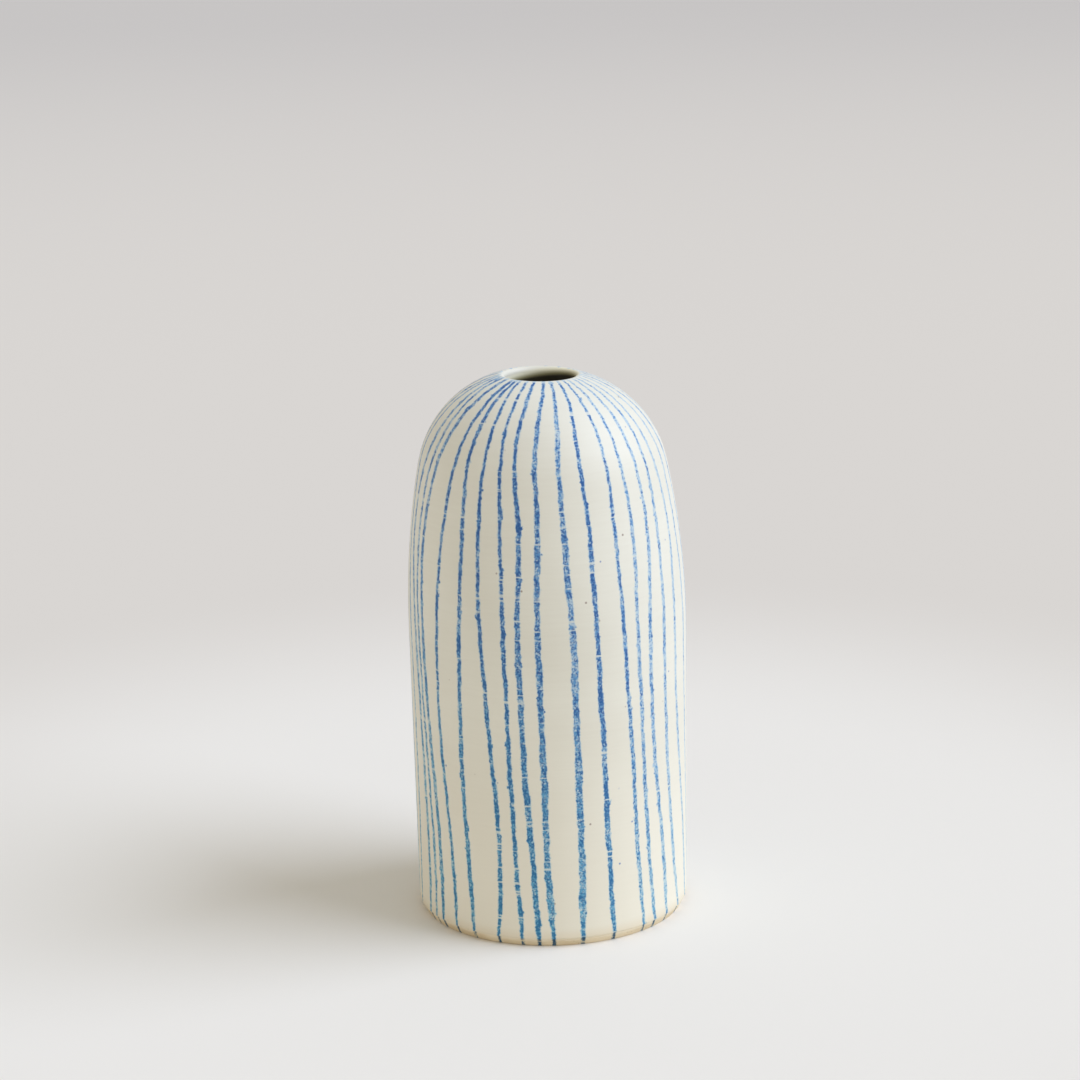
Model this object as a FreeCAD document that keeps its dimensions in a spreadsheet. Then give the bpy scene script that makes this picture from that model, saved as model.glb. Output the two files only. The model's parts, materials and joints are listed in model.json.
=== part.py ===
"""Ceramic bud vase: a tall domed bottle of fired clay, with a coat of glaze outside and a liner glaze inside.

Lengths are in millimetres. The origin is at the centre of the foot, on the surface that the vase stands on,
and +Z runs up through the mouth. Clay and coats are turned about Z, and meet along shared profiles: the
outer glaze runs from its line above the foot to the crest of the lip, and the liner from there down the
neck and over the whole inside.
"""
import FreeCAD, Part
import math
import os
import Sketcher
from FreeCAD import Vector

# ---------------------------------------------------------------------- driving dimensions

SIZES = {
    # finished outside, over the glaze
    "body_height": 130.0,       # floor to the crest of the lip
    "belly_radius": 33.0,       # widest point, at the top of the straight side
    "belly_height": 69.0,
    "side_flare": 0.5,          # how far the straight side leans out on its way up from the floor
    "shoulder_inset": 3.9,      # how far inside the belly the side turns into the dome
    "shoulder_height": 109.5,
    "mouth_radius": 8.25,       # finished bore of the neck
    "lip_radius": 1.2,          # rounding from the dome into the bore
    # clay
    "wall_thickness": 4.0,
    "floor_thickness": 6.0,
    "corner_radius": 6.0,       # inside, between the wall and the floor
    "neck_edge_radius": 1.0,    # inside, under the lip
    "bevel_width": 0.8,         # bare bevel round the foot
    "bevel_height": 1.5,
    "ring_width": 6.5,          # foot ring, from the finished side in to the turned hollow
    "recess_depth": 1.2,
    "recess_slope": 1.5,        # run of the hollow's sloping edge
    # coats
    "glaze_thickness": 0.4,
    "glaze_line": 2.0,          # height at which the outer glaze stops
    "bead_radius": 0.25,        # soft lower edge of the outer glaze
    # cutting profiles
    "overrun": 5.0,             # how far they run past the clay
}

doc = FreeCAD.newDocument("bud_vase")
sheet = doc.addObject("Spreadsheet::Sheet", "Sizes")
for row, (alias, value) in enumerate(SIZES.items(), start=1):
    sheet.set(f"A{row}", alias)
    sheet.set(f"B{row}", str(value))
    sheet.setAlias(f"B{row}", alias)
doc.recompute()


def size(name):
    """A driving dimension, read from the sheet."""
    return float(sheet.get(name))


# ---------------------------------------------------------------------- the half section, worked out
# In the half plane x is the radius and y the height. Sketches start from these places, and their
# constraints then hold them to the sheet.


def unit(vector):
    return vector / vector.Length


def angle_of(vector):
    return math.atan2(vector.y, vector.x)


def at_height(point, direction, height):
    """Where a sloping line reaches a height."""
    return point + direction * ((height - point.y) / direction.y)


class Wall:
    """Finished outside: straight side, long arc in to the shoulder, dome arc, small arc over the lip."""

    foot = Vector(size("belly_radius") - size("side_flare"), 0)
    belly = Vector(size("belly_radius"), size("belly_height"))
    shoulder = Vector(size("belly_radius") - size("shoulder_inset"), size("shoulder_height"))
    lip_radius = size("lip_radius")
    lip_centre = Vector(size("mouth_radius") + lip_radius, size("body_height") - lip_radius)

    side = unit(belly - foot)
    side_normal = Vector(side.y, -side.x)
    drop = belly - shoulder
    arc_radius = drop.Length ** 2 / (2 * side_normal.dot(drop))
    arc_centre = belly - side_normal * arc_radius

    shoulder_normal = unit(shoulder - arc_centre)
    reach = shoulder - lip_centre
    dome_radius = (reach.Length ** 2 - lip_radius ** 2) / (2 * (shoulder_normal.dot(reach) - lip_radius))
    dome_centre = shoulder - shoulder_normal * dome_radius
    crown_normal = unit(lip_centre - dome_centre)


class Cavity:
    """Bare clay inside: floor, rounded corner, wall parallel to the outside, rounded edge, straight neck."""

    inset = size("glaze_thickness") + size("wall_thickness")
    floor = size("floor_thickness")
    corner_radius = size("corner_radius")
    edge_radius = size("neck_edge_radius")
    neck = size("mouth_radius") + size("glaze_thickness")

    edge_reach = Wall.dome_radius - inset + edge_radius
    edge_run = neck + edge_radius - Wall.dome_centre.x
    edge_centre = Wall.dome_centre + Vector(edge_run, math.sqrt(edge_reach ** 2 - edge_run ** 2))
    edge_normal = unit(edge_centre - Wall.dome_centre)

    corner_line = Wall.foot - Wall.side_normal * (inset + corner_radius)
    corner_centre = at_height(corner_line, Wall.side, floor + corner_radius)


# ---------------------------------------------------------------------- half-section sketches

# the sketcher counts an element's points up from 1, and a sketch's own axes down from -1
START, END, CENTRE = range(1, 4)
FLOOR_AXIS, TURNING_AXIS = range(-1, -3, -1)
ORIGIN = (FLOOR_AXIS, START)

WALL_INSET = "Sizes.glaze_thickness"
CAVITY_INSET = "Sizes.glaze_thickness + Sizes.wall_thickness"


class Section:
    """A closed half section in the XZ plane of a body's own origin.

    The finished wall is drawn first, as reference geometry held to the sheet. The real edges then follow
    it: their arcs share its centres, and their side is parallel to its side.
    """

    def __init__(self, body, name):
        self.sketch = body.newObject("Sketcher::SketchObject", name)
        plane = next(p for p in body.Origin.OriginFeatures if p.Role == "XZ_Plane")
        self.sketch.AttachmentSupport = [(plane, "")]
        self.sketch.MapMode = "FlatFace"
        self.draw_reference()

    def line(self, start, end, reference=False):
        return self.sketch.addGeometry(Part.LineSegment(start, end), reference)

    def arc(self, centre, start, end, reference=False):
        """An arc that runs anticlockwise from start to end."""
        circle = Part.Circle(centre, Vector(0, 0, 1), (start - centre).Length)
        first = angle_of(start - centre)
        turn = (angle_of(end - centre) - first) % math.tau
        return self.sketch.addGeometry(Part.ArcOfCircle(circle, first, first + turn), reference)

    def rule(self, kind, *where):
        self.sketch.addConstraint(Sketcher.Constraint(kind, *where))

    def measure(self, kind, *where, now, by):
        """A dimension that starts as drawn and follows an expression over the sheet."""
        index = self.sketch.addConstraint(Sketcher.Constraint(kind, *where, now))
        self.sketch.setExpression(f"Constraints[{index}]", by)

    def at_radius(self, element, point, by):
        now = self.sketch.getPoint(element, point).x
        self.measure("DistanceX", *ORIGIN, element, point, now=now, by=by)

    def at_level(self, element, point, by):
        now = self.sketch.getPoint(element, point).y
        self.measure("DistanceY", *ORIGIN, element, point, now=now, by=by)

    def rounded_by(self, element, by):
        now = self.sketch.Geometry[element].Radius
        self.measure("Radius", element, now=now, by=by)

    def join(self, *elements):
        """Joins the end of each straight edge to the start of the next."""
        for first, second in zip(elements, elements[1:]):
            self.rule("Coincident", first, END, second, START)

    def draw_reference(self):
        bore = Wall.lip_centre - Vector(Wall.lip_radius, 0)
        crown = Wall.lip_centre + Wall.crown_normal * Wall.lip_radius
        self.side = self.line(Wall.foot, Wall.belly, True)
        self.waist = self.arc(Wall.arc_centre, Wall.belly, Wall.shoulder, True)
        self.dome = self.arc(Wall.dome_centre, Wall.shoulder, crown, True)
        self.lip = self.arc(Wall.lip_centre, crown, bore, True)
        self.rule("PointOnObject", self.side, START, FLOOR_AXIS)
        self.at_radius(self.side, START, "Sizes.belly_radius - Sizes.side_flare")
        self.at_radius(self.side, END, "Sizes.belly_radius")
        self.at_level(self.side, END, "Sizes.belly_height")
        self.rule("Tangent", self.side, END, self.waist, START)
        self.at_radius(self.waist, END, "Sizes.belly_radius - Sizes.shoulder_inset")
        self.at_level(self.waist, END, "Sizes.shoulder_height")
        self.rule("Tangent", self.waist, END, self.dome, START)
        self.rule("Tangent", self.dome, END, self.lip, START)
        self.rounded_by(self.lip, "Sizes.lip_radius")
        self.at_radius(self.lip, CENTRE, "Sizes.mouth_radius + Sizes.lip_radius")
        self.at_level(self.lip, CENTRE, "Sizes.body_height - Sizes.lip_radius")
        self.rule("Horizontal", self.lip, CENTRE, self.lip, END)

    def draw_chimney(self, lip_top, lip_edge):
        """Closes a section up its axis, past the lip, from the top of its lip arc."""
        rim = Wall.lip_centre.x
        top = size("body_height") + size("overrun")
        up = self.line(lip_top, Vector(rim, top))
        across = self.line(Vector(rim, top), Vector(0, top))
        self.rule("Vertical", up)
        self.rule("Horizontal", across)
        self.rule("Coincident", *lip_edge, up, START)
        self.rule("Vertical", *lip_edge, self.lip, CENTRE)
        self.at_level(up, END, "Sizes.body_height + Sizes.overrun")
        self.rule("PointOnObject", across, END, TURNING_AXIS)
        self.join(up, across)
        return across

    def close_on_axis(self, above, below):
        """The axis edge, from the end of the top edge down to a point of the bottom edge."""
        top = self.sketch.getPoint(above, END)
        bottom = self.sketch.getPoint(*below)
        axis = self.line(top, bottom)
        self.join(above, axis)
        self.rule("Coincident", axis, END, *below)
        self.rule("PointOnObject", axis, END, TURNING_AXIS)

    def draw_outside(self, inset, by, foot_level):
        """The outside of the clay or of its glaze, from a level on the side up to the crest of the lip."""
        low = at_height(Wall.foot - Wall.side_normal * inset, Wall.side, foot_level)
        belly = Wall.belly - Wall.side_normal * inset
        shoulder = Wall.shoulder - Wall.shoulder_normal * inset
        lip_radius = Wall.lip_radius - inset
        crown = Wall.lip_centre + Wall.crown_normal * lip_radius
        crest = Wall.lip_centre + Vector(0, lip_radius)
        side = self.line(low, belly)
        waist = self.arc(Wall.arc_centre, belly, shoulder)
        dome = self.arc(Wall.dome_centre, shoulder, crown)
        lip = self.arc(Wall.lip_centre, crown, crest)
        for real, reference in ((waist, self.waist), (dome, self.dome), (lip, self.lip)):
            self.rule("Coincident", real, CENTRE, reference, CENTRE)
        for first, second in ((side, waist), (waist, dome), (dome, lip)):
            self.rule("Tangent", first, END, second, START)
        if inset:
            self.rule("Parallel", side, self.side)
            self.measure("Distance", side, END, self.side, now=inset, by=by)
        else:
            self.rule("Coincident", side, END, self.side, END)
        top = self.draw_chimney(crest, (lip, END))
        return side, low, top

    def draw_cavity(self, coat, by):
        """The inside of the bare clay, or of its glaze, from the crest of the lip down to the floor."""
        inset = Cavity.inset + coat
        lip_radius = Wall.lip_radius - size("glaze_thickness") + coat
        edge_radius = Cavity.edge_radius + coat
        corner_radius = Cavity.corner_radius - coat
        neck = Cavity.neck - coat
        crest = Wall.lip_centre + Vector(0, lip_radius)
        neck_top = Vector(neck, Wall.lip_centre.y)
        neck_foot = Vector(neck, Cavity.edge_centre.y)
        crown = Cavity.edge_centre - Cavity.edge_normal * edge_radius
        shoulder = Wall.shoulder - Wall.shoulder_normal * inset
        belly = Wall.belly - Wall.side_normal * inset
        side_foot = Cavity.corner_centre + Wall.side_normal * corner_radius
        floor_edge = Cavity.corner_centre - Vector(0, corner_radius)

        lip = self.arc(Wall.lip_centre, crest, neck_top)
        bore = self.line(neck_top, neck_foot)
        edge = self.arc(Cavity.edge_centre, neck_foot, crown)
        dome = self.arc(Wall.dome_centre, shoulder, crown)
        waist = self.arc(Wall.arc_centre, belly, shoulder)
        side = self.line(side_foot, belly)
        corner = self.arc(Cavity.corner_centre, floor_edge, side_foot)
        floor = self.line(Vector(0, floor_edge.y), floor_edge)
        for real, reference in ((waist, self.waist), (dome, self.dome), (lip, self.lip)):
            self.rule("Coincident", real, CENTRE, reference, CENTRE)
        self.rule("Tangent", lip, END, bore, START)
        self.rule("Tangent", bore, END, edge, START)
        self.rule("Tangent", edge, END, dome, END)
        self.rule("Tangent", dome, START, waist, END)
        self.rule("Tangent", waist, START, side, END)
        self.rule("Tangent", side, START, corner, END)
        self.rule("Tangent", corner, START, floor, END)
        self.rule("Vertical", bore)
        self.rule("Horizontal", floor)
        self.rule("Parallel", side, self.side)
        self.rounded_by(lip, f"Sizes.lip_radius - {WALL_INSET} + {by}")
        self.rounded_by(edge, f"Sizes.neck_edge_radius + {by}")
        self.rounded_by(corner, f"Sizes.corner_radius - {by}")
        self.measure("Distance", side, END, self.side, now=inset, by=f"{CAVITY_INSET} + {by}")
        self.at_level(floor, END, f"Sizes.floor_thickness + {by}")
        top = self.draw_chimney(crest, (lip, START))
        self.close_on_axis(top, (floor, START))


# ---------------------------------------------------------------------- turning features

VOLUME_CHANGE = 1e-3


def new_body(name):
    body = doc.addObject("PartDesign::Body", name)
    body.Label = name
    return body


def turn(body, section, name, kind="PartDesign::Revolution"):
    """Turns a section about Z, as a solid or as a cut, and checks that it changed the body's volume."""
    doc.recompute()
    before = body.Shape.Volume if body.Tip else 0
    feature = body.newObject(kind, name)
    feature.Profile = section.sketch
    feature.ReferenceAxis = (section.sketch, ["V_Axis"])
    feature.Angle = 360
    doc.recompute()
    grows = feature.Shape.Volume - before > VOLUME_CHANGE
    if grows != (kind == "PartDesign::Revolution"):
        raise RuntimeError(f"{name} left {body.Label} at {feature.Shape.Volume:.1f} mm3, from {before:.1f}")
    return feature


def turn_away(body, section, name):
    return turn(body, section, name, "PartDesign::Groove")


def round_edge(body, feature, at, radius, name):
    """Rounds the circular edge that passes through a point of the XZ plane."""
    point = Part.Vertex(at)
    edges = feature.Shape.Edges
    nearest = min(range(len(edges)), key=lambda i: edges[i].distToShape(point)[0])
    fillet = body.newObject("PartDesign::Fillet", name)
    fillet.Base = (feature, [f"Edge{nearest + 1}"])
    fillet.setExpression("Radius", radius)
    doc.recompute()
    return fillet


# ---------------------------------------------------------------------- clay_body: what is turned and fired


clay_body = new_body("clay_body")

clay_outside = Section(clay_body, "clay_outside")
side, low, top = clay_outside.draw_outside(size("glaze_thickness"), WALL_INSET, size("bevel_height"))
bevel_foot = Vector(low.x - size("bevel_width"), 0)
sole = clay_outside.line(Vector(0, 0), bevel_foot)
bevel = clay_outside.line(bevel_foot, low)
clay_outside.join(sole, bevel, side)
clay_outside.at_level(side, START, "Sizes.bevel_height")
clay_outside.measure("DistanceX", bevel, START, bevel, END, now=size("bevel_width"), by="Sizes.bevel_width")
clay_outside.rule("PointOnObject", sole, START, FLOOR_AXIS)
clay_outside.rule("PointOnObject", sole, END, FLOOR_AXIS)
clay_outside.close_on_axis(top, (sole, START))
turn(clay_body, clay_outside, "clay_blank")

clay_inside = Section(clay_body, "clay_inside")
clay_inside.draw_cavity(0, "0")
turn_away(clay_body, clay_inside, "clay_cavity")

recess = Section(clay_body, "recess_section")
mouth_edge = at_height(Wall.foot - Wall.side_normal * size("ring_width"), Wall.side, 0)
ceiling_edge = mouth_edge + Vector(-size("recess_slope"), size("recess_depth"))
lead_in = Vector(0, -size("overrun"))
ceiling = recess.line(Vector(0, ceiling_edge.y), ceiling_edge)
slope = recess.line(ceiling_edge, mouth_edge)
drop = recess.line(mouth_edge, mouth_edge + lead_in)
under = recess.line(mouth_edge + lead_in, lead_in)
axis = recess.line(lead_in, Vector(0, ceiling_edge.y))
recess.join(ceiling, slope, drop, under, axis, ceiling)
recess.rule("Horizontal", ceiling)
recess.rule("Vertical", drop)
recess.rule("Horizontal", under)
recess.rule("PointOnObject", ceiling, START, TURNING_AXIS)
recess.rule("PointOnObject", axis, START, TURNING_AXIS)
recess.rule("PointOnObject", slope, END, FLOOR_AXIS)
recess.measure("Distance", slope, END, recess.side, now=size("ring_width"), by="Sizes.ring_width")
recess.measure("DistanceX", ceiling, END, slope, END, now=size("recess_slope"), by="Sizes.recess_slope")
recess.at_level(ceiling, END, "Sizes.recess_depth")
recess.at_level(drop, END, "-Sizes.overrun")
turn_away(clay_body, recess, "foot_recess")

# ---------------------------------------------------------------------- outer_glaze

outer_glaze = new_body("outer_glaze")

glaze_outside = Section(outer_glaze, "glaze_outside")
side, low, top = glaze_outside.draw_outside(0, None, 0)
base = glaze_outside.line(Vector(0, 0), low)
glaze_outside.join(base, side)
glaze_outside.rule("PointOnObject", base, START, FLOOR_AXIS)
glaze_outside.rule("PointOnObject", base, END, FLOOR_AXIS)
glaze_outside.close_on_axis(top, (base, START))
turn(outer_glaze, glaze_outside, "glaze_blank")

clay_seat = Section(outer_glaze, "clay_seat")
side, low, top = clay_seat.draw_outside(size("glaze_thickness"), WALL_INSET, size("glaze_line"))
rim = Vector(size("belly_radius") + size("overrun"), size("glaze_line"))
floor_rim = Vector(rim.x, -size("overrun"))
ledge = clay_seat.line(rim, low)
skirt = clay_seat.line(floor_rim, rim)
under = clay_seat.line(Vector(0, floor_rim.y), floor_rim)
clay_seat.join(under, skirt, ledge, side)
clay_seat.rule("Horizontal", ledge)
clay_seat.rule("Vertical", skirt)
clay_seat.rule("Horizontal", under)
clay_seat.at_level(side, START, "Sizes.glaze_line")
clay_seat.at_radius(skirt, START, "Sizes.belly_radius + Sizes.overrun")
clay_seat.at_level(under, START, "-Sizes.overrun")
clay_seat.close_on_axis(top, (under, START))
coat = turn_away(outer_glaze, clay_seat, "glaze_coat")

glaze_edge = at_height(Wall.foot, Wall.side, size("glaze_line"))
round_edge(outer_glaze, coat, Vector(glaze_edge.x, 0, glaze_edge.y), "Sizes.bead_radius", "glaze_bead")

# ---------------------------------------------------------------------- liner_glaze

liner_glaze = new_body("liner_glaze")

liner_outside = Section(liner_glaze, "liner_outside")
liner_outside.draw_cavity(0, "0")
turn(liner_glaze, liner_outside, "liner_blank")

water_space = Section(liner_glaze, "water_space")
water_space.draw_cavity(size("glaze_thickness"), "Sizes.glaze_thickness")
turn_away(liner_glaze, water_space, "liner_coat")

# ---------------------------------------------------------------------- checks and files

doc.recompute()
for made in doc.Objects:
    if {"Invalid", "Error"} & set(made.State):
        raise RuntimeError(f"{made.Name} did not recompute: {made.State}")

os.makedirs("parts", exist_ok=True)
for node in (clay_body, outer_glaze, liner_glaze):
    if node.Shape.isNull() or not node.Shape.isValid():
        raise RuntimeError(f"{node.Label} has no valid shape")
    node.Shape.exportStep(f"parts/{node.Label}.step")
    print(f"{node.Label}: {len(node.Shape.Solids)} solids, {node.Shape.Volume / 1000:.2f} cm3")
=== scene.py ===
# %% [markdown]
# # A striped ceramic bud vase
#
# The real vase is one fired pot. A potter turned it, drew about forty lines down it with a blue ceramic
# pencil, and glazed it inside and out, leaving the rim of the foot bare. A CAD model holds its
# construction: the clay and the two coats of glaze. This lesson loads that model as a fixed frame and
# dresses it: each layer is turned again as a smooth mesh, and the finish is built from shader nodes.

# %% Load the frame
import json
import math
import random

import bmesh
import bpy
import numpy as np
from mathutils import Matrix, Vector


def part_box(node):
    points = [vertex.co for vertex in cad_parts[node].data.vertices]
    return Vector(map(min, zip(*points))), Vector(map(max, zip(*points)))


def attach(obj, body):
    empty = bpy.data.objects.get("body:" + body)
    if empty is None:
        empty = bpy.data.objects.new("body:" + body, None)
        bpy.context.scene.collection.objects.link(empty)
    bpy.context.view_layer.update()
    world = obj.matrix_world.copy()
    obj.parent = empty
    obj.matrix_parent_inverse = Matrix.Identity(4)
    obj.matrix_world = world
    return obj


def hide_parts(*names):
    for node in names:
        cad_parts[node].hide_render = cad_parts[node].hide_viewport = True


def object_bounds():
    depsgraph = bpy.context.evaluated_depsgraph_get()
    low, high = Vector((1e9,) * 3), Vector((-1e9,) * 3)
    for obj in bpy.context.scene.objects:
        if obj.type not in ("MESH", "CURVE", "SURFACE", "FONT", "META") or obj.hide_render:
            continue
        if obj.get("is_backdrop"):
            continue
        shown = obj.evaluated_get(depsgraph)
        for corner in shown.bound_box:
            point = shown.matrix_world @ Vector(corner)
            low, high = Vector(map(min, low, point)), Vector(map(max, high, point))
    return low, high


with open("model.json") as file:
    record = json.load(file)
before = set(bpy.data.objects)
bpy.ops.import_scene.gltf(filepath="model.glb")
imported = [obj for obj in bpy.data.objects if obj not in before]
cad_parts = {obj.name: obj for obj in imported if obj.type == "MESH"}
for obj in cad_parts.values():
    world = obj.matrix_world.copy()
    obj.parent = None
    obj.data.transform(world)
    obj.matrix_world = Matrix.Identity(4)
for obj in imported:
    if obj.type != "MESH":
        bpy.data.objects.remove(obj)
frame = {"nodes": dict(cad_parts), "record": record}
cad_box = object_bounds()
print("nodes:", ", ".join(frame["nodes"]))

# %% [markdown]
# ## Sizes
#
# Nothing is measured twice. The boxes of the CAD nodes and the mouth's mount give the few lengths that
# the pieces need, in metres.

# %% Read the sizes
MM = 0.001

clay_low, clay_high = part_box("clay_body")
coat_low, coat_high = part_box("outer_glaze")
liner_low, liner_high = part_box("liner_glaze")
mouth = next(mount for mount in frame["record"]["mounts"] if mount["name"] == "mouth")

height = coat_high[2]
belly_radius = coat_high[0]
glaze_line = coat_low[2]
floor_level = liner_low[2]
coat = belly_radius - clay_high[0]
wall = clay_high[0] - liner_high[0]
mouth_radius = mouth["dims"]["r_mm"] * MM
print(f"{height / MM:.1f} mm tall, belly {2 * belly_radius / MM:.1f} mm, wall {wall / MM:.1f} mm")

# %% [markdown]
# ## The outline
#
# The wall bulges everywhere, so the convex hull of its half section is its outline. The hull's points are
# exact but unevenly spaced, so a smooth curve is passed through them: straight steps between them would
# show as bands in the gloss.


# %% Find the outline of the outer wall
def half_section(node):
    """Radius and height of each vertex of a CAD node."""
    places = np.array([vertex.co for vertex in frame["nodes"][node].data.vertices])
    return np.column_stack((np.hypot(places[:, 0], places[:, 1]), places[:, 2]))


def outer_hull(section):
    """The outermost points of a half section, from the bottom up."""
    hull = []
    for radius, level in sorted(section.tolist(), key=lambda point: (point[1], point[0])):
        while len(hull) > 1:
            (r0, z0), (r1, z1) = hull[-2:]
            if (r1 - r0) * (level - z1) - (z1 - z0) * (radius - r1) > 0:
                break
            hull.pop()
        hull.append((radius, level))
    return hull


def flowing(where, stations, values):
    """A smooth curve through values that are known at rising stations (a cubic Hermite spline)."""
    stations, values = np.asarray(stations, float), np.asarray(values, float)
    slopes = np.gradient(values, stations, edge_order=2)
    span = np.clip(np.searchsorted(stations, where, side="right") - 1, 0, len(stations) - 2)
    step = stations[span + 1] - stations[span]
    t = (where - stations[span]) / step
    start = (1 + 2 * t) * (1 - t) ** 2 * values[span] + t * (1 - t) ** 2 * step * slopes[span]
    end = t ** 2 * (3 - 2 * t) * values[span + 1] + t ** 2 * (t - 1) * step * slopes[span + 1]
    return start + end


SAMPLE_GAP = 3 * MM      # the least distance between the hull points that are kept
BEAD_ROOM = 2 * MM       # the glaze's rounded lower edge, left out of the outline
LIP_ROOM = 1.3           # and so many radii of the lip, next to the mouth
SKIN_DEPTH = 0.05 * MM   # the modelled surface lies this far inside the CAD one

hull = outer_hull(half_section("outer_glaze"))
lip_radius = hull[-1][0] - mouth_radius
crown_radius = mouth_radius + LIP_ROOM * lip_radius
plain = [p for p in hull if p[1] > glaze_line + BEAD_ROOM and p[0] > crown_radius]
kept = [plain[0]]
for point in plain:
    if math.dist(point, kept[-1]) > SAMPLE_GAP and math.dist(point, plain[-1]) > SAMPLE_GAP:
        kept.append(point)
kept = np.array([*kept, plain[-1]])
kept_run = np.concatenate(([0], np.cumsum(np.hypot(*np.diff(kept, axis=0).T))))
print(f"{len(kept)} outline points, lip rounded to {lip_radius / MM:.2f} mm")

# %% Sample it evenly, and parallel to it
ROW_GAP = 1.0 * MM
HIDDEN_GAP = 4 * MM     # between rows that nobody sees


def outline(inset, bottom, row_gap=ROW_GAP):
    """Points of the wall, or of a curve parallel to it, from a level near the foot up to the crown."""
    lead = (kept[0][1] - bottom) / (kept[1][1] - kept[0][1]) * kept_run[1]
    rows = max(2, round((kept_run[-1] + lead) / row_gap))
    run = np.linspace(-lead, kept_run[-1], rows + 1)
    radius, level = (flowing(np.maximum(run, 0), kept_run, kept[:, axis]) for axis in (0, 1))
    side = (kept[1] - kept[0]) / kept_run[1]
    radius += np.minimum(run, 0) * side[0]
    level += np.minimum(run, 0) * side[1]
    facing = np.column_stack((np.gradient(level, run), -np.gradient(radius, run)))
    facing /= np.hypot(*facing.T)[:, None]
    return np.column_stack((radius, level)) - facing * (inset + SKIN_DEPTH)


def onward(line, radius):
    """Where a line of points, carried on straight from its end, reaches a radius."""
    (r0, z0), (r1, z1) = line[-2:]
    return np.array((radius, z1 + (z1 - z0) / (r1 - r0) * (radius - r1)))


wall_line = outline(0, glaze_line)
print(f"{len(wall_line)} rows up the wall, crown {wall_line[-1][1] / MM:.2f} mm up")

# %% [markdown]
# ## Turning a half section
#
# A pot is a lathe's shape, so every layer here is a closed half section spun about Z. Corners are rounded
# while the section is still a wire, by bevelling its vertices, which is simpler than bevelling whole
# rings of edges afterwards. The distance run along the section is kept in an attribute, for the UV map.

# %% A half section as a wire
RUN = "run"             # the attribute that keeps the distance along the section


def wire_of(points, closed):
    """A bmesh that holds the section as a chain of edges in the XZ plane."""
    wire = bmesh.new()
    wire.verts.layers.float.new(RUN)
    chain = [wire.verts.new((radius, 0, level)) for radius, level in points]
    for first, second in zip(chain, chain[1:]):
        wire.edges.new((first, second))
    if closed:
        wire.edges.new((chain[-1], chain[0]))
    return wire, chain


def round_corners(wire, chain, corners):
    """Rounds named vertices of the wire: place in the chain, radius and number of segments."""
    rounded = []
    for place, radius, segments in corners:
        corner = chain[place]
        arms = [(edge.other_vert(corner).co - corner.co).normalized() for edge in corner.link_edges]
        reach = radius / math.tan(arms[0].angle(arms[1]) / 2)
        rounded.append((corner, reach, segments))
    for corner, reach, segments in rounded:
        bmesh.ops.bevel(wire, geom=[corner], offset=reach, offset_type="OFFSET", segments=segments,
                        profile=0.5, affect="VERTICES", material=-1)


def mark_run(wire, first):
    """Stores on each vertex how far along the section it lies, counted from one vertex."""
    layer = wire.verts.layers.float[RUN]
    here, came_by, run = first, None, 0.0
    while here is not None:
        here[layer] = run
        ahead = [edge for edge in here.link_edges if edge is not came_by]
        if not ahead or ahead[0].other_vert(here) is first:
            break
        came_by = ahead[0]
        there = came_by.other_vert(here)
        run += (there.co - here.co).length
        here = there
    return run


# %% The lathe
SHARP_FROM = math.radians(50)       # edges that turn by more stay sharp
SAME_PLACE = 0.0001 * MM            # points closer than this are joined


def turn(name, points, columns, corners=()):
    """Spins a half section, which is a loop or runs from axis to axis, into a closed mesh object."""
    wire, chain = wire_of(points, closed=points[0][0] > 0)
    round_corners(wire, chain, corners)
    length = mark_run(wire, chain[0])
    bmesh.ops.spin(wire, geom=wire.verts[:] + wire.edges[:], cent=(0, 0, 0), axis=(0, 0, 1),
                   angle=math.tau, steps=columns, use_merge=True)
    bmesh.ops.remove_doubles(wire, verts=wire.verts[:], dist=SAME_PLACE)
    bmesh.ops.recalc_face_normals(wire, faces=wire.faces[:])
    mesh = bpy.data.meshes.new(name)
    wire.to_mesh(mesh)
    wire.free()
    mesh.shade_smooth()
    mesh.set_sharp_from_angle(angle=SHARP_FROM)
    piece = bpy.data.objects.new(name, mesh)
    bpy.context.scene.collection.objects.link(piece)
    print(f"{name}: {len(mesh.polygons)} faces, section {length / MM:.0f} mm long")
    return piece


# %% [markdown]
# ## The three layers
#
# The outer glaze carries everything that is seen, so it gets a row each millimetre and enough columns
# for the edges of the pencil lines. It runs over the lip and ends at the top of the bore, where the
# liner takes over. The clay and the liner are closed bodies too, but coarse where they are hidden.

# %% Outer glaze
WALL_COLUMNS = 480
BEAD_RADIUS = 0.25 * MM
BEAD_SEGMENTS = 4
LIP_SEGMENTS = 10

bore_top = np.array((mouth_radius, height - lip_radius))
behind_glaze = outline(coat, glaze_line, HIDDEN_GAP)
bead_corner = 1
lip_corner = bead_corner + len(wall_line)
outer_glaze = turn(
    "outer_glaze_coat",
    [behind_glaze[0], *wall_line, onward(wall_line, mouth_radius), bore_top, bore_top + (coat, 0),
     *behind_glaze[:0:-1]],
    WALL_COLUMNS,
    corners=[(bead_corner, BEAD_RADIUS, BEAD_SEGMENTS), (lip_corner, lip_radius, LIP_SEGMENTS)],
)

# %% Liner glaze
BORE_COLUMNS = 192
NECK_EDGE = 1.4 * MM
FLOOR_CORNER = 5.6 * MM
CORNER_SEGMENTS = 6

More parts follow.
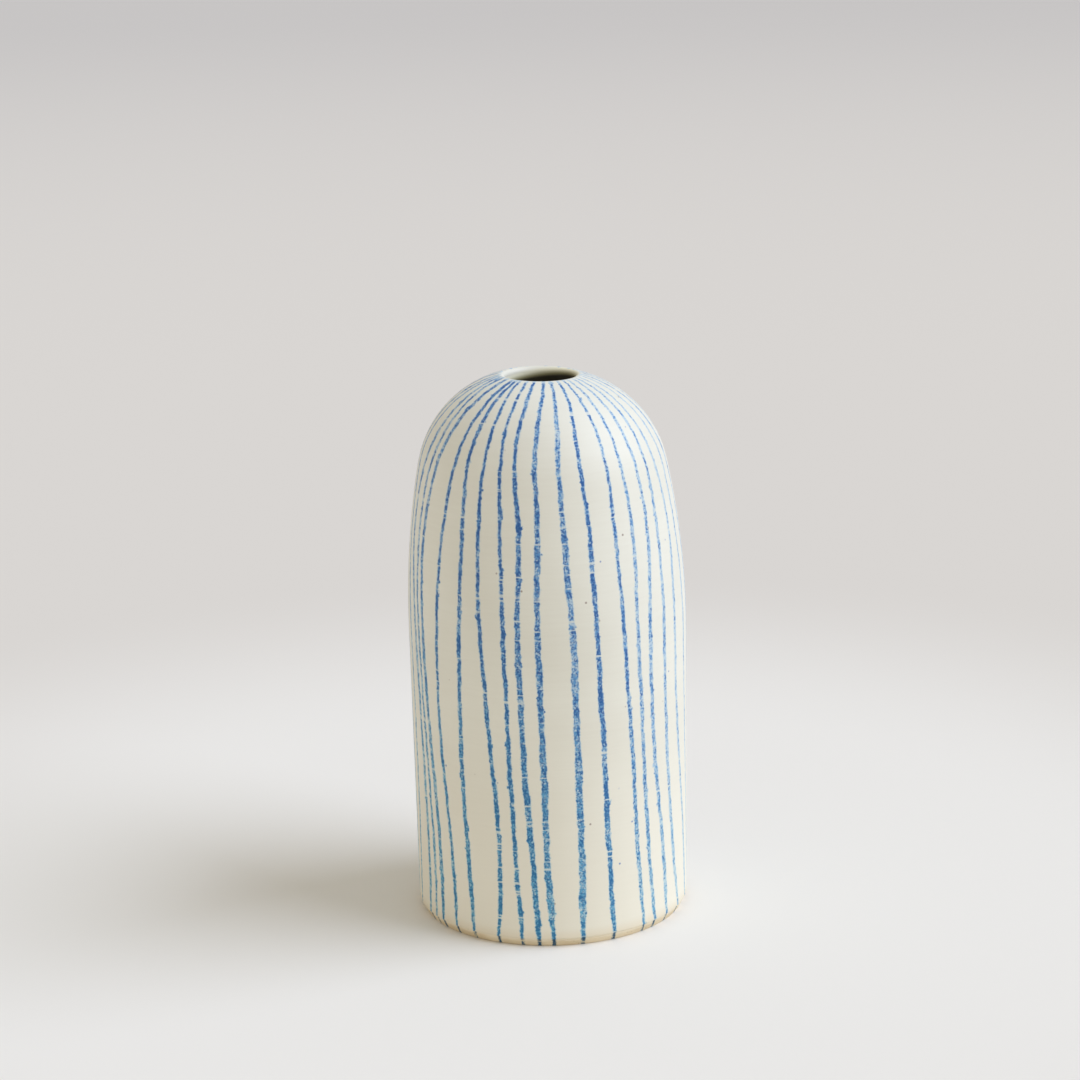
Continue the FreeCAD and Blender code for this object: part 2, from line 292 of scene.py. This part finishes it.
liner_floor = floor_level + coat
inside = outline(coat + wall + coat, liner_floor, 2 * ROW_GAP)
inside = inside[inside[:, 0] > mouth_radius + NECK_EDGE]
under_liner = outline(coat + wall, floor_level, HIDDEN_GAP)
under_liner = under_liner[under_liner[:, 0] > mouth_radius + coat + NECK_EDGE]
neck_corner = onward(inside, mouth_radius)
outer_neck_corner = onward(under_liner, mouth_radius + coat)
liner_points = [
    (0, liner_floor), (inside[0][0], liner_floor), *inside[1:], neck_corner, bore_top,
    bore_top + (coat, 0), outer_neck_corner, *under_liner[:0:-1], (under_liner[0][0], floor_level),
    (0, floor_level),
]
neck_place = 1 + len(inside)
liner_glaze = turn(
    "liner_glaze_coat", liner_points, BORE_COLUMNS,
    corners=[(1, FLOOR_CORNER, CORNER_SEGMENTS), (neck_place, NECK_EDGE, CORNER_SEGMENTS)],
)

# %% Clay
CLAY_COLUMNS = 288
BEVEL_HEIGHT = 1.5 * MM
EDGE_WEAR = 0.3 * MM
EDGE_SEGMENTS = (3, 3, 4, 3)    # from the hollow's edge to the top of the foot's bevel

sole = half_section("clay_body")
on_sole = sole[sole[:, 1] < clay_low[2] + SKIN_DEPTH]
ring_inner, ring_outer = on_sole[:, 0].min(), on_sole[:, 0].max()
ceiling = sole[(sole[:, 0] < ring_inner) & (sole[:, 1] < floor_level / 2)]
recess_depth, recess_radius = ceiling[:, 1].max(), ceiling[:, 0].max()

clay_side = outline(coat, BEVEL_HEIGHT, HIDDEN_GAP)
cavity = outline(coat + wall, floor_level, HIDDEN_GAP)
cavity = cavity[cavity[:, 0] > mouth_radius + coat]
clay_top = height - lip_radius - coat
clay_points = [
    (0, recess_depth), (recess_radius, recess_depth), (ring_inner, 0), (ring_outer, 0), *clay_side,
    (mouth_radius + coat + SKIN_DEPTH, clay_top), *cavity[::-1], (0, floor_level),
]
clay_body = turn(
    "clay_pot", clay_points, CLAY_COLUMNS,
    corners=[(place, EDGE_WEAR, segments) for place, segments in enumerate(EDGE_SEGMENTS, start=1)],
)

# %% [markdown]
# ## The pencil lines
#
# Each line is one pull of a ceramic pencil from the lip to the foot. Its course is a short list of
# azimuths at a few heights, joined by a smooth curve, with a slight shake of the hand added. The lines
# aren't modelled, because they have no thickness: every vertex stores how far it lies from the nearest
# line, how wide that line is there and how hard the pencil was pressed, and the shader draws the grainy
# stroke from that. The pressing also carries a painted sheen: the lines towards the window are made paler.

# %% Courses of the lines at the front
# Each row is a line's width at the foot and at the lip in millimetres, the pressure on the pencil, and
# its azimuth in degrees, from -Y towards +X, at these shares of the height. They go from left to right.
STATIONS = (0, 0.15, 0.38, 0.58, 0.77, 0.91, 1)
# painted sheen: the lines on the right, towards the window, are pressed less, so they are paler, as the
# window's sheen would make them
FRONT = (
    (1.0, 0.85, 0.76, (-77, -75, -75, -77, -80, -80, -77)),
    (1.2, 0.95, 0.81, (-65, -64, -67, -70, -74, -69, -69)),
    (1.0, 0.85, 0.81, (-59, -59, -63, -66, -67, -62, -62)),
    (1.3, 1.00, 0.86, (-54, -54, -59, -62, -62, -56, -51)),
    (1.0, 0.90, 0.95, (-45, -46, -51, -51, -48, -44, -40)),
    (1.2, 0.85, 0.95, (-35, -37, -39, -38, -37, -37, -34)),
    (1.1, 0.65, 1.00, (-24, -22, -25, -28, -29, -28, -28)),
    (1.1, 0.60, 1.00, (-13, -15, -17, -18, -19, -20, -18)),
    (1.4, 0.70, 0.95, (-6, -8, -11, -12, -11, -13, -8)),
    (1.5, 0.75, 0.90, (0, -2, -3, -4, -3, -3, 4)),
    (1.6, 0.70, 0.85, (12, 12, 11, 10, 8, 8, 14)),
    (1.3, 0.60, 0.95, (26, 24, 22, 20, 19, 18, 25)),
    (1.1, 0.50, 0.85, (41, 38, 35, 32, 31, 31, 33)),
    (1.1, 0.50, 0.75, (48, 44, 41, 39, 40, 39, 41)),
    (1.2, 0.55, 0.75, (56, 53, 47, 46, 49, 48, 50)),
    (1.2, 0.50, 0.70, (67, 61, 56, 55, 56, 56, 58)),
    (1.1, 0.45, 0.65, (78, 74, 66, 64, 66, 63, 67)),
    (1.0, 0.45, 0.60, (86, 82, 77, 75, 74, 73, 76)),
)
print(len(FRONT), "lines at the front")

# %% Courses of the lines round the back
BACK_COUNT = 21
BACK_WANDER = 1.4       # how far a whole line may stray, in degrees
STATION_WANDER = 1.0    # and each of its stations
hand = random.Random(11)


def back_strokes():
    """Lines whose courses pass by equal steps from the last front one round to the first."""
    last, first = FRONT[-1][-1], FRONT[0][-1]
    for number in range(1, BACK_COUNT + 1):
        share = number / (BACK_COUNT + 1)
        drift = hand.uniform(-BACK_WANDER, BACK_WANDER)
        course = [
            right + (left + 360 - right) * share + drift + hand.uniform(-STATION_WANDER, STATION_WANDER)
            for right, left in zip(last, first)
        ]
        foot_width, lip_width = hand.uniform(1.0, 1.6), hand.uniform(0.5, 0.85)
        yield foot_width, lip_width, hand.uniform(0.65, 1.0), course


strokes = [*FRONT, *back_strokes()]
print(len(strokes), "pencil lines in all")

# %% [markdown]
# ## Marking the nearest line on each vertex
#
# A shake of the hand is a sum of a few slow waves with random phases. The distance is kept without a
# sign: half way between two lines it only peaks, so nothing false is drawn there. A width below zero
# marks where a line has ended, over the lip or under the edge of the foot.

# %% The shake of the hand
SHAKE = 0.12 * MM
SHAKE_LENGTHS = (31 * MM, 13 * MM, 5.5 * MM, 2.9 * MM)
SWELL = 0.1             # share by which a line grows wider and narrower
SWELL_LENGTHS = (27 * MM, 9 * MM)
OVER_LIP = (0.7, 1.2)   # a line ends so many radii of the lip past the crown
WAVE_MARGIN = 10 * MM
WAVE_STEPS = 600


def waves(run, lengths):
    """A slow random wave along the wall, about 1 high."""
    return sum(
        np.sin(run * math.tau / (length * hand.uniform(0.8, 1.25)) + hand.uniform(0, math.tau))
        for length in lengths
    ) / math.sqrt(len(lengths))


wall_run = np.concatenate(([0], np.cumsum(np.hypot(*np.diff(wall_line, axis=0).T))))
wave_runs = np.linspace(-WAVE_MARGIN, wall_run[-1] + WAVE_MARGIN, WAVE_STEPS)
station_runs = np.interp(np.array(STATIONS) * height, wall_line[:, 1], wall_run)
station_runs[0] = -glaze_line
station_runs[-1] = wall_run[-1]
hand_marks = [
    (waves(wave_runs, SHAKE_LENGTHS), waves(wave_runs, SWELL_LENGTHS),
     wall_run[-1] + hand.uniform(*OVER_LIP) * lip_radius)
    for _ in strokes
]
print(f"the wall is {wall_run[-1] / MM:.0f} mm long from the glaze line to the crown")

# %% Distance to the nearest line
LIFT = 1.2 * MM         # the pencil's pressure goes over this length at the lip,
LIFTED = 0.6            # down to this share
FOOT_TAPER = 7 * MM     # the line narrows from this level to the foot,
TAPERED = 0.6           # down to this share
FOOT_STOP = 2.5 * MM    # and the pencil is pressed harder below this level,
STOP_PRESS = 0.22       # by this much at the very foot
SOLE_WRAP = 0.5 * MM    # how far under the foot a line may run


def mark_strokes(piece):
    """Stores the distance from the nearest line and its half width, in millimetres, and how hard the pencil
    was pressed, with the painted sheen.
    """
    mesh = piece.data
    places = np.empty(3 * len(mesh.vertices))
    mesh.vertices.foreach_get("co", places)
    x, y, level = places.reshape(-1, 3).T
    radius = np.hypot(x, y)
    azimuth = np.degrees(np.arctan2(x, -y))
    past_crown = wall_line[-1][0] - radius
    below_crown = np.interp(level, wall_line[:, 1], wall_run)
    up_wall = np.where(past_crown > 0, wall_run[-1] + past_crown, below_crown)
    share = np.clip(up_wall / wall_run[-1], 0, 1)
    past_sole = np.where(level < BEVEL_HEIGHT, radius - ring_outer + SOLE_WRAP, height)
    stop = np.interp(up_wall, (0, FOOT_STOP), (STOP_PRESS, 0))
    best = np.full(len(level), np.inf)
    half_width, pressure_and_sheen = np.zeros_like(best), np.zeros_like(best)
    for (foot, lip, press_and_sheen, course), (shake, swell, end) in zip(strokes, hand_marks):
        centre = flowing(up_wall, station_runs, course)
        aside = np.radians((azimuth - centre + 180) % 360 - 180) * radius
        distance = np.abs(aside - SHAKE * np.interp(up_wall, wave_runs, shake))
        nearer = distance < best
        best[nearer] = distance[nearer]
        to_end = np.minimum(end - up_wall, past_sole)[nearer]
        half = (foot + (lip - foot) * share[nearer] ** 3) * MM / 2
        half *= 1 + SWELL * np.interp(up_wall[nearer], wave_runs, swell)
        half *= np.interp(up_wall[nearer], (-glaze_line, FOOT_TAPER), (TAPERED, 1))
        half_width[nearer] = np.where(to_end > 0, half, to_end)
        pressure_and_sheen[nearer] = press_and_sheen * np.clip((end - up_wall[nearer]) / LIFT, LIFTED, 1) + stop[nearer]
    marks = {"line_distance": best / MM, "line_half": half_width / MM, "line_press_and_sheen": pressure_and_sheen}
    for name, values in marks.items():
        mesh.attributes.new(name, "FLOAT", "POINT").data.foreach_set("value", values)
    covered = np.mean(best < half_width)
    print(f"{piece.name}: {covered:.0%} of its vertices lie under a line")


for layer in (outer_glaze, clay_body):
    mark_strokes(layer)

# %% [markdown]
# ## A UV map for the glaze
#
# The materials don't need one, but a baked copy of the model does. The wall is unrolled: azimuth across,
# with the cut at the back, and the distance run up the section upwards, so nearly the whole map goes to
# the side that is seen.

# %% Unroll the wall
SEEN_SHARE = 0.9


def unroll(piece, seen_run, whole_run):
    """Adds a UV map that gives the seen part of the section, up to seen_run, most of the height."""
    mesh = piece.data
    made = bmesh.new()
    made.from_mesh(mesh)
    uv_layer, run_layer = made.loops.layers.uv.new("OFBake"), made.verts.layers.float[RUN]
    for face in made.faces:
        middle = face.calc_center_median()
        ahead = math.atan2(middle.x, -middle.y) / math.tau + 0.5
        runs = [loop.vert[run_layer] for loop in face.loops]
        closing = max(runs) - min(runs) > whole_run / 2
        for loop, run in zip(face.loops, runs):
            across = math.atan2(loop.vert.co.x, -loop.vert.co.y) / math.tau + 0.5
            across += round(ahead - across)
            run = whole_run if closing and run < whole_run / 2 else run
            up = np.interp(run, (0, seen_run, whole_run), (0, SEEN_SHARE, 1))
            loop[uv_layer].uv = (across, up)
    made.to_mesh(mesh)
    made.free()


coat_runs = np.empty(len(outer_glaze.data.vertices))
outer_glaze.data.attributes[RUN].data.foreach_get("value", coat_runs)
front_run = kept_run[-1] + 2 * lip_radius + 2 * coat
unroll(outer_glaze, front_run, coat_runs.max() + HIDDEN_GAP)
print(f"{SEEN_SHARE:.0%} of the map's height goes to {front_run / MM:.0f} mm of wall")

# %% [markdown]
# ## The potter's hand
#
# Nothing thrown on a wheel is exactly true. The neck leans to one side by half a millimetre, and the lip
# dips as much on the other. The three layers are shifted together, so that they stay nested.

# %% Lean the neck and dip the lip
LEAN = -0.5 * MM
LEAN_FROM = 0.5         # share of the height at which the lean starts
DIP = 0.5 * MM
DIP_FROM = 0.8          # and at which the dip starts
DIP_WIDTH = 12 * MM


def rise(level, low, high):
    """Goes smoothly from 0 to 1 between two levels."""
    share = np.clip((level - low) / (high - low), 0, 1)
    return share ** 2 * (3 - 2 * share)


for layer in (outer_glaze, liner_glaze, clay_body):
    places = np.empty(3 * len(layer.data.vertices))
    layer.data.vertices.foreach_get("co", places)
    x, y, level = places.reshape(-1, 3).T
    dip = DIP / 2 * (1 + np.tanh(x / DIP_WIDTH)) * rise(level, DIP_FROM * height, height)
    x += LEAN * rise(level, LEAN_FROM * height, height)
    level -= dip
    layer.data.vertices.foreach_set("co", places)
    layer.data.update()
print(f"lip now between {(height - DIP) / MM:.1f} and {height / MM:.1f} mm up")

# %% [markdown]
# ## Writing shader maths in Python
#
# A small class wraps a socket, so that `1 - mask * 0.5` adds the two Math nodes that it needs. Its method
# `node` adds any other kind, from its type, its settings and its inputs. `between` and `blend` are short
# names for the two that the finishes need most.


# %% A socket that Python can reckon with
class Value:
    """A shader socket, or a part of an expression over sockets."""

    def __init__(self, tree, socket=None):
        self.tree, self.socket = tree, socket

    def node(self, kind, settings=None, inputs=None, output=0):
        """Adds a node: its settings are set first, then the values or links of its sockets."""
        made = self.tree.nodes.new("ShaderNode" + kind)
        for name, value in (settings or {}).items():
            setattr(made, name, value)
        for name, value in (inputs or {}).items():
            if isinstance(value, Value):
                self.tree.links.new(value.socket, made.inputs[name])
            else:
                made.inputs[name].default_value = value
        return Value(self.tree, made.outputs[output])

    def math(self, operation, *operands):
        return self.node("Math", {"operation": operation}, dict(enumerate(operands)))

    def __add__(self, other):
        return self.math("ADD", self, other)

    def __sub__(self, other):
        return self.math("SUBTRACT", self, other)

    def __rsub__(self, other):
        return self.math("SUBTRACT", other, self)

    def __mul__(self, other):
        return self.math("MULTIPLY", self, other)

    __radd__ = __add__
    __rmul__ = __mul__

    def between(self, low, high, start=0.0, end=1.0):
        """Runs smoothly from start to end as this value goes from low to high."""
        ends = {"From Min": low, "From Max": high, "To Min": start, "To Max": end}
        return self.node("MapRange", {"interpolation_type": "SMOOTHSTEP"}, {"Value": self, **ends})

    def blend(self, first, second):
        """A colour that goes from first to second as this value goes from 0 to 1."""
        return self.node("Mix", {"data_type": "RGBA"}, {0: self, 6: first, 7: second}, 2)


# %% Colours and materials
def colour(red, green, blue):
    """A colour as it is seen on a screen, 0 to 255, turned into the linear one that shaders use."""
    seen = (channel / 255 for channel in (red, green, blue))
    return (*(c / 12.92 if c <= 0.04045 else ((c + 0.055) / 1.055) ** 2.4 for c in seen), 1)


def new_material(name):
    """A material with only a Principled shader, and a Value to build its inputs from."""
    material = bpy.data.materials.new(name)
    material.use_nodes = True
    tree = material.node_tree
    shader = tree.nodes["Principled BSDF"]
    return material, shader, Value(tree)


def feed(shader, **inputs):
    """Sets or links sockets of a shader: base_color=..., roughness=..."""
    for name, value in inputs.items():
        socket = shader.inputs[name.replace("_", " ").title().replace("Ior", "IOR")]
        if isinstance(value, Value):
            value.tree.links.new(value.socket, socket)
        else:
            socket.default_value = value


print(f"a grey that is seen as 128 of 255 is {colour(128, 128, 128)[0]:.2f} in a shader")

# %% [markdown]
# ## Patterns that the finishes share
#
# All patterns are reckoned in millimetres in the object's own space, so their grain has its real size.
# A pattern that is stretched across X and Y is drawn out round the pot, as the wheel leaves it.

# %% Shared patterns
TURNED = (0.05, 0.05, 1)


def in_millimetres(start, stretch=(1, 1, 1)):
    """The object's own coordinates in millimetres, stretched along each axis."""
    place = start.node("TexCoord", output="Object")
    scale = tuple(factor / MM for factor in stretch)
    return start.node("VectorMath", {"operation": "MULTIPLY"}, {0: place, 1: scale})


def noise(where, scale, detail=2.0, roughness=0.5, distortion=0.0):
    """Smooth noise from about 0.3 to 0.7, with scale in features per millimetre."""
    return where.node("TexNoise", None, {
        "Vector": where, "Scale": scale, "Detail": detail, "Roughness": roughness, "Distortion": distortion,
    }, "Fac")


def specks(where, spacing, size, share):
    """Small round specks: where they are, from 0 to 1."""
    cells = {"Vector": where, "Scale": 1 / spacing, "Randomness": 1.0}
    near = where.node("TexVoronoi", None, cells, "Distance")
    pick = where.node("TexVoronoi", None, cells, "Color")
    chosen = where.node("SeparateColor", None, {"Color": pick}, "Red").between(share, share - 0.01)
    return (near * spacing).between(size, size * 0.4) * chosen


def bumps(relief, strength, depth):
    """A normal that follows a relief, with its depth in millimetres."""
    inputs = {"Strength": strength, "Distance": depth * MM, "Height": relief}
    return relief.node("Bump", None, inputs, "Normal")


# %% Places on the pot
def along(where, axis):
    """One coordinate of a place."""
    return where.node("SeparateXYZ", None, {0: where}, axis)


def from_axis(where):
    """How far a place lies from the axis of the leaning neck or, low down, of the pot."""
    lean = along(where, "Z").between(LEAN_FROM * height / MM, height / MM, 0, LEAN / MM)
    upright = where.node("CombineXYZ", None, {"X": along(where, "X") - lean, "Y": along(where, "Y")})
    return where.node("VectorMath", {"operation": "LENGTH"}, {0: upright}, "Value")


# %% [markdown]
# ## Pencil
#
# The pencil's pigment lies in the glaze as grains: dense and dark in the middle of a line and broken at
# its edges. Pale gaps show where the pencil skipped over the fine rings left by turning, so they line up
# from one line to the next. Three masks, one over the other, give that more simply than a painted image.

# %% Pencil pigment
GRAIN = 1.9             # grains per millimetre
RINGS = (0.03, 0.03, 1)


def skips(start, where):
    """Where the pencil skipped over a ring, from 0 to 1."""
    rings = noise(in_millimetres(start, RINGS), 1.4, 1).between(0.60, 0.69)
    return rings * noise(where, 0.16, 1).between(0.43, 0.54)


def pencil_marks(start, where):
    """Three masks from 0 to 1: a pale wash under the line, its body of grains, and its darkest grains."""
    distance, half_width, press_and_sheen = (
        start.node("Attribute", {"attribute_name": name}, None, "Fac")
        for name in ("line_distance", "line_half", "line_press_and_sheen")
    )
    ragged = (noise(where, GRAIN, 3, 0.75) - 0.5) * 0.9
    slip = noise(where, 0.55, 1).between(0.66, 0.76) * 0.35
    inside_line = half_width + ragged + slip - distance
    load = press_and_sheen * 0.4 + noise(where, 0.45, 2) * 0.3
    wash = (inside_line + 0.08).between(-0.18, 0.24)
    body = inside_line.between(-0.04, 0.14) * (noise(where, 1.6, 4, 0.8) + load).between(0.89, 1.03)
    dark = inside_line.between(0.0, 0.26) * (noise(where, GRAIN, 3, 0.75) + load).between(0.97, 1.08)
    skipped = skips(start, where)
    kept_grains = 1 - skipped * 0.9
    return wash * (1 - skipped * 0.5), body * kept_grains, dark * kept_grains


def with_pencil(start, where, ground, pale, blue, deep):
    """Draws the pencil lines over a ground colour. Also gives the mask of their grains."""
    wash, body, dark = pencil_marks(start, where)
    drawn = (body * 0.85).blend((wash * 0.6).blend(ground, pale), blue)
    return (dark * 0.9).blend(drawn, deep), body


# %% [markdown]
# ## Striped glaze
#
# The glaze is a warm white, satin rather than glassy. Towards the foot it is painted lighter and creamier,
# as light thrown up by the table would make it. Iron in the clay has come through it in a few brown specks,
# and pigment dust in a few blue ones. Round the mouth it is thin, so the neck turns from cream to olive and
# brown within a few millimetres; these are partly painted: light on the cream lip, shade in the olive and
# brown.


# %% Ground of the glaze
def glaze_ground(start, where):
    """The colour of the bare glaze: warm white, with slow mottling and faint turned streaks."""
    slow = noise(where, 0.035, 2).between(0.35, 0.65)
    streaks = noise(in_millimetres(start, TURNED), 1.3, 3, 0.6).between(0.3, 0.7)
    upper = (slow * 0.7 + streaks * 0.3).blend(colour(229, 226, 210), colour(235, 233, 218))
    # painted light: the glaze is painted lighter and warmer towards the foot, where the table throws light
    # up
    warm = (along(where, "Z").between(80, 0) * 0.6).blend(upper, colour(238, 230, 208))
    iron = specks(where, 2.9, 0.36, 0.1).blend(warm, colour(166, 152, 138))
    dust = specks(in_millimetres(start, (1.01, 0.99, 1)), 3.1, 0.34, 0.1)
    return dust.blend(iron, colour(122, 142, 184))


# %% Colours down the neck
# painted light: the shade down the neck starts lower on the left, whose inner wall the window lights
SHADE_TILT = 0.11        # the brown starts lower on the left, along this slope


def down_the_neck(where, ground):
    """Colours a ground inside the mouth: cream with painted light at the lip, olive and brown with painted
    shade below, and pale again where the glaze is thick.
    """
    lip_edge = from_axis(where).between((mouth_radius + lip_radius) / MM, mouth_radius / MM + 0.5)
    depth = height / MM - along(where, "Z") + along(where, "X") * SHADE_TILT
    # painted light and shade: a bright cream on the lip, then olive and a near-black brown down the neck,
    # partly the thin glaze and partly painted shade
    cream_and_light = (lip_edge * depth.between(0.2, 1.2)).blend(ground, colour(246, 242, 214))
    olive_and_shade = (lip_edge * depth.between(1.0, 2.2)).blend(cream_and_light, colour(158, 152, 112))
    brown_and_shade = depth.between(7, 22).blend(colour(46, 41, 26), colour(112, 98, 74))
    below = depth.between(22, 60).blend(brown_and_shade, colour(206, 196, 168))
    return (lip_edge * depth.between(1.8, 2.8)).blend(olive_and_shade, below)


# %% Striped glaze
def striped_glaze():
    """The outer glaze with its blue lines, which turn towards teal near the foot."""
    material, shader, start = new_material("striped_glaze")
    where = in_millimetres(start)
    level = along(where, "Z")
    teal = (level + along(where, "X") * 0.8).between(85, -10) * 0.9
    blue = teal.blend(colour(56, 136, 196), colour(38, 154, 190))
    deep = teal.blend(colour(14, 78, 148), colour(16, 106, 152))
    pale = teal.blend(colour(148, 192, 220), colour(136, 196, 212))
    thin = level.between(glaze_line / MM + 3, glaze_line / MM)
    ground = down_the_neck(where, glaze_ground(start, where))
    ground = (thin * 0.5).blend(ground, colour(224, 208, 176))
    drawn, body = with_pencil(start, where, ground, pale, blue, deep)
    streaks = noise(in_millimetres(start, TURNED), 0.9, 4, 0.6)
    relief = streaks * 0.2 + noise(where, 0.5, 2) * 0.5 - body * 0.1
    satin = 0.48 + body * 0.1 + noise(where, 0.3) * 0.06
    feed(shader, base_color=drawn, roughness=satin, normal=bumps(relief, 0.25, 0.03), ior=1.5)
    return material


outer_glaze.data.materials.append(striped_glaze())
print("striped_glaze:", len(outer_glaze.data.materials[0].node_tree.nodes), "nodes")

# %% [markdown]
# ## Liner glaze
#
# Inside, the same glaze was poured in and out, so it is smoother and glossier and has no lines. It shares
# the colours down the neck, and they meet at the top of the bore without a seam.


# %% Liner glaze
def liner_finish():
    material, shader, start = new_material("liner_glaze")
    where = in_millimetres(start)
    lining = down_the_neck(where, glaze_ground(start, where))
    gloss = 0.36 + noise(where, 0.4) * 0.1
    feed(shader, base_color=lining, roughness=gloss, normal=bumps(noise(where, 0.6, 3), 0.3, 0.04), ior=1.5)
    return material


liner_glaze.data.materials.append(liner_finish())
print("liner_glaze:", len(liner_glaze.data.materials[0].node_tree.nodes), "nodes")

# %% [markdown]
# ## Bare clay
#
# The clay shows only at the foot: toasted tan, dry, with fine sand in it and the rings of the trimming
# tool under it. A trace of wiped glaze softens its upper edge. The lines end on it as dark dots, because
# the pigment has no glaze there to turn it blue.


# %% Bare clay
def clay_finish():
    material, shader, start = new_material("bare_clay")
    where = in_millimetres(start)
    sand = noise(where, 2.4, 4, 0.75)
    rings = noise(where.node("CombineXYZ", None, {"X": from_axis(where)}), 0.7, 3, 0.6)
    toast = noise(where, 0.12, 2).between(0.35, 0.65)
    tan = (toast * 0.5 + sand * 0.3 + rings * 0.3).blend(colour(236, 222, 192), colour(216, 197, 160))
    grog = specks(where, 0.9, 0.14, 0.3).blend(tan, colour(140, 114, 82))
    edge = along(where, "Z") + noise(where, 0.3, 2)
    wiped = edge.between(glaze_line / MM - 0.5, glaze_line / MM + 0.5) * 0.8
    ground = wiped.blend(grog, colour(238, 228, 204))
    pale, blue, deep = colour(160, 168, 150), colour(46, 100, 130), colour(22, 68, 96)
    drawn, _ = with_pencil(start, where, ground, pale, blue, deep)
    feed(shader, base_color=drawn, roughness=0.82 - sand * 0.1, normal=bumps(sand * 0.6 + rings, 0.6, 0.1))
    return material


clay_body.data.materials.append(clay_finish())
print("bare_clay:", len(clay_body.data.materials[0].node_tree.nodes), "nodes")

# %% [markdown]
# ## Joining the layers to the frame
#
# Each layer stands for one CAD node, which it hides, and rides on the model's one body.

# %% Hand the pieces to the frame
for piece, node, finish in (
    (outer_glaze, "outer_glaze", "striped_glaze"),
    (liner_glaze, "liner_glaze", "liner_glaze"),
    (clay_body, "clay_body", "bare_clay"),
):
    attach(piece, "root")
    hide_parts(node)
    print(f"{piece.name} stands for {node}")

# %% [markdown]
# ## Table, light and camera
#
# The vase stands on a pale table that runs on as the background. Its colour is painted palest near the vase
# and darker further off, where the light falls away. The key light is as wide and soft as a window and
# comes from the right. It is a sun lamp, because an area lamp would leave the far table dark. The room
# fills the
# shadows: it is warm near the horizon and neutral overhead, and on the left a pale wall throws some of the
# light back. The lens and the gloss see it in one plain grey instead.

# %% Table
TABLE_RADIUS = 5.0

table_mesh = bmesh.new()
bmesh.ops.create_circle(table_mesh, cap_ends=True, radius=TABLE_RADIUS, segments=96)
table_data = bpy.data.meshes.new("table")
table_mesh.to_mesh(table_data)
table_mesh.free()
table = bpy.data.objects.new("table", table_data)
bpy.context.scene.collection.objects.link(table)
table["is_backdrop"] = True

table_material, table_shader, table_start = new_material("table")
place = table_start.node("TexCoord", output="Object")
far_out = table_start.node("VectorMath", {"operation": "LENGTH"}, {0: place}, "Value")
# painted light: the table is palest near the vase and painted darker and greyer further off, as the light
# falls off, until it meets the room's grey
painted_falloff = far_out.between(0.13, 0.3).blend(colour(240, 236, 227), colour(224, 218, 208))
table_colour = far_out.between(0.6, 3.2).blend(painted_falloff, colour(206, 201, 194))
feed(table_shader, base_color=table_colour, roughness=0.9, specular_ior_level=0.0)
table_data.materials.append(table_material)
print(f"{table.name}: {TABLE_RADIUS:.0f} m in radius")

# %% Window
WINDOW_AZIMUTH = math.radians(-8)      # from +X, and a little towards the camera
WINDOW_UP = math.radians(40)
WINDOW_WIDTH = math.radians(50)

window_data = bpy.data.lights.new("window", "SUN")
window_data.energy = 2.12
window_data.angle = WINDOW_WIDTH
window_data.color = (0.90, 1.0, 1.24)
window = bpy.data.objects.new("window", window_data)
towards = Vector((
    math.cos(WINDOW_AZIMUTH) * math.cos(WINDOW_UP),
    math.sin(WINDOW_AZIMUTH) * math.cos(WINDOW_UP),
    math.sin(WINDOW_UP),
))
window.matrix_world = (-towards).to_track_quat("-Z", "Y").to_matrix().to_4x4()
bpy.context.scene.collection.objects.link(window)
print(f"{window.name}: {math.degrees(WINDOW_UP):.0f} degrees up, {math.degrees(WINDOW_WIDTH):.0f} wide")

# %% Room
world = bpy.data.worlds.new("room")
bpy.context.scene.world = world
world.use_nodes = True
room = Value(world.node_tree)
around = room.node("TexCoord", output="Generated")
overhead = along(around, "Z")
window_side = overhead.between(0.0, 0.7).blend((0.54, 0.49, 0.40, 1), (0.52, 0.51, 0.49, 1))
wall_side = overhead.between(0.0, 0.5).blend((0.96, 0.845, 0.71, 1), (0.54, 0.53, 0.51, 1))
room_light = along(around, "X").between(0.2, -0.9).blend(window_side, wall_side)
by_lens, by_gloss = (room.node("LightPath", output=ray) for ray in ("Is Camera Ray", "Is Glossy Ray"))
seen = by_lens + by_gloss
room_colour = seen.blend(room_light, colour(201, 199, 197))
background = world.node_tree.nodes["Background"]
world.node_tree.links.new(room_colour.socket, background.inputs["Color"])
background.inputs["Strength"].default_value = 1.0
print(f"{world.name}: {len(world.node_tree.nodes)} nodes")

# %% Camera
CAMERA_PLACE = Vector((0, -0.6396, 0.2569))
CAMERA_DOWN = math.radians(14.646)
CAMERA_ASIDE = math.radians(-0.12)
CAMERA_ROLL = math.radians(1.295)

camera_data = bpy.data.cameras.new("camera")
camera_data.sensor_width = 36
camera_data.lens = 93.33
camera = bpy.data.objects.new("camera", camera_data)
ahead = Vector((
    math.sin(CAMERA_ASIDE) * math.cos(CAMERA_DOWN),
    math.cos(CAMERA_ASIDE) * math.cos(CAMERA_DOWN),
    -math.sin(CAMERA_DOWN),
))
level_turn = ahead.to_track_quat("-Z", "Y").to_matrix().to_4x4()
roll = Matrix.Rotation(-CAMERA_ROLL, 4, "Z")
camera.matrix_world = Matrix.Translation(CAMERA_PLACE) @ level_turn @ roll
bpy.context.scene.collection.objects.link(camera)
bpy.context.scene.camera = camera
bpy.context.scene.view_settings.view_transform = "Standard"
print(f"{camera.name}: {camera_data.lens:.0f} mm lens, {CAMERA_PLACE.length:.2f} m away")

# %% Sizes
visual_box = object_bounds()
boxes = {"cad": cad_box, "visual": visual_box}
{name: [list(corner) for corner in box] for name, box in boxes.items()}
print("CAD box", cad_box, "visual box", visual_box)
